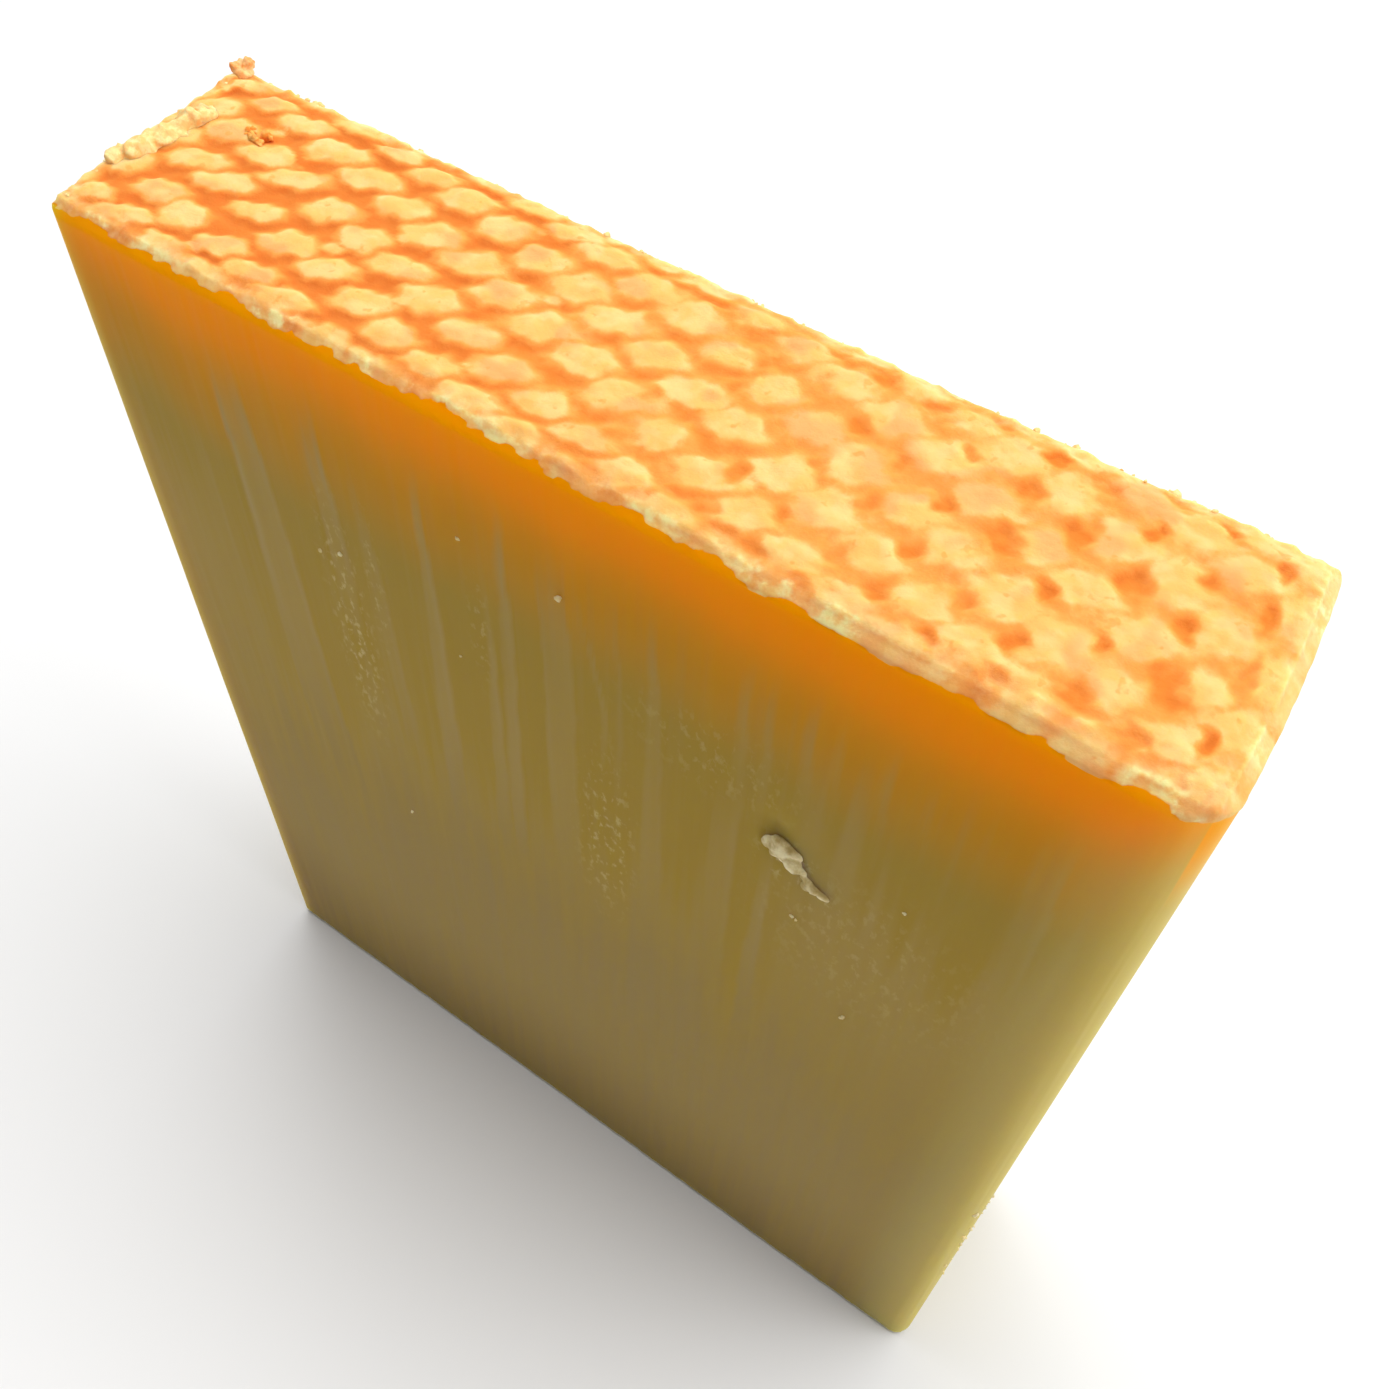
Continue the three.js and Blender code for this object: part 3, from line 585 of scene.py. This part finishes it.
def cheese_material(name, glow_radius, glow_scale):
    """The surface pattern with its own translucency."""
    made = bpy.data.materials.new(name)
    made.use_nodes = True
    tree = made.node_tree
    shader = tree.nodes["Principled BSDF"]
    shader.inputs["Specular IOR Level"].default_value = 0.02
    shader.inputs["Subsurface Weight"].default_value = 1.0
    shader.inputs["Subsurface Radius"].default_value = glow_radius
    shader.inputs["Subsurface Scale"].default_value = glow_scale
    surface = add_node(tree, "ShaderNodeGroup", node_tree=pattern)
    for socket in surface.inputs:
        feed(tree, socket, attribute(tree, socket.name.lower()))
    feed(tree, shader.inputs["Base Color"], surface.outputs["Color"])
    feed(tree, shader.inputs["Roughness"], surface.outputs["Roughness"])
    bump = add_node(tree, "ShaderNodeBump")
    bump.inputs["Strength"].default_value = 0.35
    bump.inputs["Distance"].default_value = 0.0002
    feed(tree, bump.inputs["Height"], surface.outputs["Height"])
    feed(tree, shader.inputs["Normal"], bump.outputs["Normal"])
    return made


block.data.materials.append(cheese_material("paste", (1.0, 0.75, 0.15), 0.0095))
block.data.materials.append(cheese_material("rind", (1.0, 0.8, 0.55), 0.0009))
rind_share = np.zeros(len(block.data.polygons))
for face in block.data.polygons:
    rind_share[face.index] = np.mean([rind_cover[corner] for corner in face.vertices[:4]])
block.data.polygons.foreach_set("material_index", (rind_share > 0.5).astype(np.int32))

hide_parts("gruyere_block")
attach(block, "root")


# Crumbs of dry rind that the knife left along the slab's broken upper edge, the largest of them at the
# torn left end. They are pressed into the edge and stay where the blade put them.
CRUMB_PALE = (1, 0.75, 0.34, 1)
CRUMB_WARM = (1, 0.56, 0.2, 1)
# The torn end's lumps: how many, from where to where across the slab, their radius, and how far in from
# the end they lie. Small ones cling to each lump.
TORN_END = dict(count=12, low=-4.6, high=4.2, least=0.64, spread=0.46, inset=1.3, slant=2.2, stray=0.8)
CLINGING = 4
# Lumps on the back left corner and beside the torn end: place along and across, lift and radius
CORNER_LUMPS = (
    (-44.8, 9.8, 0.4, 0.76),
    (-44.2, 10.1, 0.55, 0.66),
    (-44.9, 9.3, 0.5, 0.52),
    (-44.2, 9.5, 0.0, 1.0),
    (-42.5, 3.5, 0.5, 0.95),
    (-42.2, 3.0, 0.4, 0.75),
)
CORNER_SHRINK = 0.75
RIND_CRUMBS, RIND_CRUMB_LEAST, RIND_CRUMB_SPREAD = 110, 0.1, 0.22
HEAP_COUNT, HEAP_PLACE, HEAP_REACH = 16, (-37.3, 3.6), (1.1, 0.6)
COARSE_SWELL, FINE_SWELL = 0.36, 0.2


def add_lump(middle, radius, seed, steps=3, rough=1.0):
    """Adds one uneven crumb at a place given in millimetres and returns its object."""
    bpy.ops.mesh.primitive_ico_sphere_add(
        subdivisions=steps, radius=radius / 1000, location=[value / 1000 for value in middle]
    )
    lump = bpy.context.object
    bpy.ops.object.transform_apply(location=True, rotation=True, scale=True)
    own = np.zeros(len(lump.data.vertices) * 3)
    lump.data.vertices.foreach_get("co", own)
    away = own.reshape(-1, 3) * 1000 - middle
    a, b, c = (away / radius).T
    swell = 1 + COARSE_SWELL * rough * grain(1.5 * a + 3 * c, 1.5 * b + seed, 81)
    swell += FINE_SWELL * rough * grain(3.1 * a - 2 * c, 3.1 * b + seed, 82)
    stretch = [0.7 + 0.6 * scatter(seed, k, 83) for k in range(3)]
    away *= swell[:, None] * stretch
    lump.data.vertices.foreach_set("co", ((away + middle) / 1000).ravel())
    lump.data.update()
    return lump


def join_lumps(lumps, name, material):
    """Makes one piece of the crumbs, in one material."""
    bpy.ops.object.select_all(action="DESELECT")
    for lump in lumps:
        lump.select_set(True)
    bpy.context.view_layer.objects.active = lumps[0]
    bpy.ops.object.join()
    joined = bpy.context.object
    joined.name = name
    joined.data.name = name
    bpy.ops.object.shade_smooth()
    joined.data.materials.clear()
    joined.data.materials.append(material)
    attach(joined, "root")
    return joined


def fuse(piece, grid_mm, rounds):
    """Makes one closed, softened lump of a piece's overlapping crumbs."""
    bpy.ops.object.select_all(action="DESELECT")
    piece.select_set(True)
    bpy.context.view_layer.objects.active = piece
    piece.data.remesh_voxel_size = grid_mm / 1000
    bpy.ops.object.voxel_remesh()
    soften = piece.modifiers.new("soften", "SMOOTH")
    soften.factor, soften.iterations = 0.5, rounds
    bpy.ops.object.modifier_apply(modifier="soften")
    bpy.ops.object.shade_smooth()


def crumb_material(name, pale, warm, grain_scale):
    """Dry crumb, mottled from its pale colour to its warm one, with a rough grain."""
    made = bpy.data.materials.new(name)
    made.use_nodes = True
    tree = made.node_tree
    shader = tree.nodes["Principled BSDF"]
    shader.inputs["Specular IOR Level"].default_value = 0.05
    shader.inputs["Subsurface Weight"].default_value = 0.4
    shader.inputs["Subsurface Radius"].default_value = (1.0, 0.7, 0.4)
    shader.inputs["Subsurface Scale"].default_value = 0.0003
    shader.inputs["Roughness"].default_value = 0.75
    place = add_node(tree, "ShaderNodeTexCoord").outputs["Object"]
    mottle = noise(tree, place, grain_scale, 4.0, 0.6)
    feed(tree, shader.inputs["Base Color"], mix(tree, ramp(tree, mottle, 0.4, 0.62), warm, pale))
    bump = add_node(tree, "ShaderNodeBump")
    bump.inputs["Strength"].default_value = 0.5
    bump.inputs["Distance"].default_value = 0.00015
    feed(tree, bump.inputs["Height"], noise(tree, place, 3200, 3.0, 0.6))
    feed(tree, shader.inputs["Normal"], bump.outputs["Normal"])
    return made


def on_slab(x, y, z):
    """Where a point of the square slab lies on the cut one, in millimetres."""
    return np.array([float(value) for value in cut_shape(x, y, z)])


# The lumps of the torn end are fused into one ragged ridge
lumps = []
for n in range(TORN_END["count"]):
    share = (n + 0.6 * scatter(n, 2, 41)) / TORN_END["count"]
    y_place = TORN_END["low"] + (TORN_END["high"] - TORN_END["low"]) * share
    x_place = TORN_END["inset"] - WIDTH / 2 + TORN_END["slant"] * share
    x_place += TORN_END["stray"] * scatter(n, 3, 41)
    radius = TORN_END["least"] + TORN_END["spread"] * scatter(n, 1, 41)
    middle = on_slab(x_place, y_place, HEIGHT + 0.05 + 0.2 * scatter(n, 4, 41))
    lumps.append(add_lump(middle, radius, n, rough=0.7))
    for k in range(CLINGING):
        turn, away = math.tau * scatter(n, k, 43), 0.4 + 0.6 * scatter(n, k, 44)
        shift = (away * math.cos(turn), away * math.sin(turn), -0.25 + 0.3 * scatter(n, k, 45))
        small = radius * (0.25 + 0.35 * scatter(n, k, 46))
        lumps.append(add_lump(middle + shift, small, 7 * n + k))
rind_crumb = crumb_material("rind_crumb", CRUMB_PALE, CRUMB_WARM, 1500)
fuse(join_lumps(lumps, "torn_end_crumbs", rind_crumb), 0.12, 14)

# A larger crumb stands on the back left corner, and a small one lies beside the torn end
lumps = []
for n, (x_place, y_place, lift, radius) in enumerate(CORNER_LUMPS):
    middle = on_slab(x_place, y_place, HEIGHT + lift)
    lumps.append(add_lump(middle, radius * CORNER_SHRINK, n + 80))
corner_crumb = crumb_material("corner_crumb", (1, 0.6, 0.27, 1), (0.95, 0.38, 0.11, 1), 1100)
fuse(join_lumps(lumps, "corner_crumb", corner_crumb), 0.1, 5)

# Small crumbs along the left end and the back edge
lumps = []
for n in range(RIND_CRUMBS):
    along, size = scatter(n, 1, 91), scatter(n, 2, 91) ** 2
    radius = RIND_CRUMB_LEAST + RIND_CRUMB_SPREAD * size
    inward = 0.1 + 0.9 * scatter(n, 3, 91)
    if n % 2:
        spot = (-WIDTH / 2 + inward * 1.6, DEPTH * (along - 0.5) * 0.9)
    else:
        spot = (WIDTH * (along - 0.5) * 0.97, DEPTH / 2 - inward)
    height = HEIGHT + 0.05 - 1.0 * (1 - inward)
    lumps.append(add_lump(on_slab(*spot, height), radius, n, 2))
join_lumps(lumps, "rind_crumbs", rind_crumb)

# A little heap of darker crumbs near the torn end
lumps = []
for n in range(HEAP_COUNT):
    aside = [(2 * scatter(n, k + 1, 97) - 1) * HEAP_REACH[k] for k in range(2)]
    middle = on_slab(HEAP_PLACE[0] + aside[0], HEAP_PLACE[1] + aside[1], HEIGHT + 0.4)
    lumps.append(add_lump(middle, 0.14 + 0.2 * scatter(n, 3, 97), n + 40, 2))
orange_crumb = crumb_material("orange_crumb", (1.0, 0.46, 0.12, 1), (0.95, 0.3, 0.05, 1), 1500)
join_lumps(lumps, "orange_crumbs", orange_crumb)


# Where the blade caught, it tore a ridge of paste out of the front face, and a few small pale grains
# and flecks lie elsewhere on the cut.
TORN_PALE = (0.97, 0.84, 0.5, 1)
TORN_SHADE = (0.55, 0.41, 0.15, 1)
# Lumps of the ridge and single grains: place along the slab, height and radius
NICK_LUMPS = (
    (19.6, 83.9, 0.6), (20.2, 84.1, 0.9), (20.9, 84.1, 1.05), (21.6, 84.3, 1.0), (22.1, 84.3, 0.8),
    (20.3, 83.0, 0.9), (21.1, 82.9, 1.1), (21.9, 83.2, 0.95), (22.5, 82.8, 0.75), (22.9, 82.3, 0.75),
    (23.4, 81.9, 0.95), (24.0, 81.4, 0.95), (24.7, 81.1, 0.75), (23.3, 81.0, 0.8),
)
GRAINS = (
    (28.8, 65.2, 0.26), (28.65, 64.7, 0.18), (1.1, 98.8, 0.3), (-7.9, 99.0, 0.2), (30.9, 85.4, 0.16),
    (-19.2, 50.7, 0.2), (-9.3, 84.0, 0.12), (-23.6, 87.2, 0.26), (-21.2, 88.4, 0.2),
    (22.7, 75.8, 0.2), (23.1, 75.6, 0.16),
)
RIDGE_SINK, GRAIN_SINK = 0.6, 0.02
# Grains down the rounded front right corner: how many, the lowest and the height they run over
CORNER_GRAINS, CORNER_GRAINS_LOW, CORNER_GRAINS_RUN = 26, 20, 26

lumps = [
    add_lump(on_slab(x, -DEPTH / 2 + RIDGE_SINK * radius, z), radius, n + 90, rough=0.4)
    for n, (x, z, radius) in enumerate(NICK_LUMPS)
]
torn_paste = crumb_material("torn_paste", TORN_PALE, TORN_SHADE, 450)
fuse(join_lumps(lumps, "torn_ridge", torn_paste), 0.1, 20)

lumps = [
    add_lump(on_slab(x, -DEPTH / 2 + GRAIN_SINK, z), radius, n + 120, 2)
    for n, (x, z, radius) in enumerate(GRAINS)
]
for n in range(CORNER_GRAINS):
    z_place = CORNER_GRAINS_LOW + CORNER_GRAINS_RUN * scatter(n, 1, 95)
    turn = math.radians(-40 + 42 * scatter(n, 2, 95))
    radius = CORNERS[(1, -1)] * 0.7
    x_place = WIDTH / 2 - radius + radius * math.cos(turn)
    y_place = -DEPTH / 2 + radius + radius * math.sin(turn)
    size = 0.08 + 0.12 * scatter(n, 3, 95)
    lumps.append(add_lump(on_slab(x_place, y_place, z_place), size, n, 2))
pale_grain = crumb_material("pale_grain", (0.95, 0.82, 0.5, 1), (0.85, 0.66, 0.3, 1), 900)
join_lumps(lumps, "pale_grains", pale_grain)


# The table top: a plain pale floor under the slab
bpy.ops.object.select_all(action="DESELECT")
bpy.ops.mesh.primitive_plane_add(size=6)
floor = bpy.context.object
floor.name = "floor"
pale = bpy.data.materials.new("pale_floor")
pale.use_nodes = True
pale.node_tree.nodes["Principled BSDF"].inputs["Base Color"].default_value = (0.86, 0.86, 0.86, 1)
pale.node_tree.nodes["Principled BSDF"].inputs["Roughness"].default_value = 0.7
floor.data.materials.append(pale)


# Soft studio light: a wide box overhead, set back behind the slab, and a dim even surround
bpy.ops.object.light_add(type="AREA", location=(0.05, 0.26, 1.0))
key = bpy.context.object
key.name = "overhead_box"
key.data.shape = "RECTANGLE"
key.data.size, key.data.size_y = 1.6, 0.8
key.data.energy = 14.3
key.rotation_euler = (math.radians(-15), 0, 0)
bpy.ops.object.light_add(type="AREA", location=(0.75, 0.2, 0.35))
side = bpy.context.object
side.name = "side_box"
side.data.shape = "RECTANGLE"
side.data.size, side.data.size_y = 0.5, 0.5
side.data.energy = 1.8
side.rotation_euler = (math.radians(68), 0, math.radians(105))
surround = bpy.data.worlds.new("surround")
surround.use_nodes = True
surround.node_tree.nodes["Background"].inputs["Color"].default_value = (1, 1, 1, 1)
surround.node_tree.nodes["Background"].inputs["Strength"].default_value = 0.285
bpy.context.scene.world = surround
bpy.context.scene.view_settings.view_transform = "Standard"
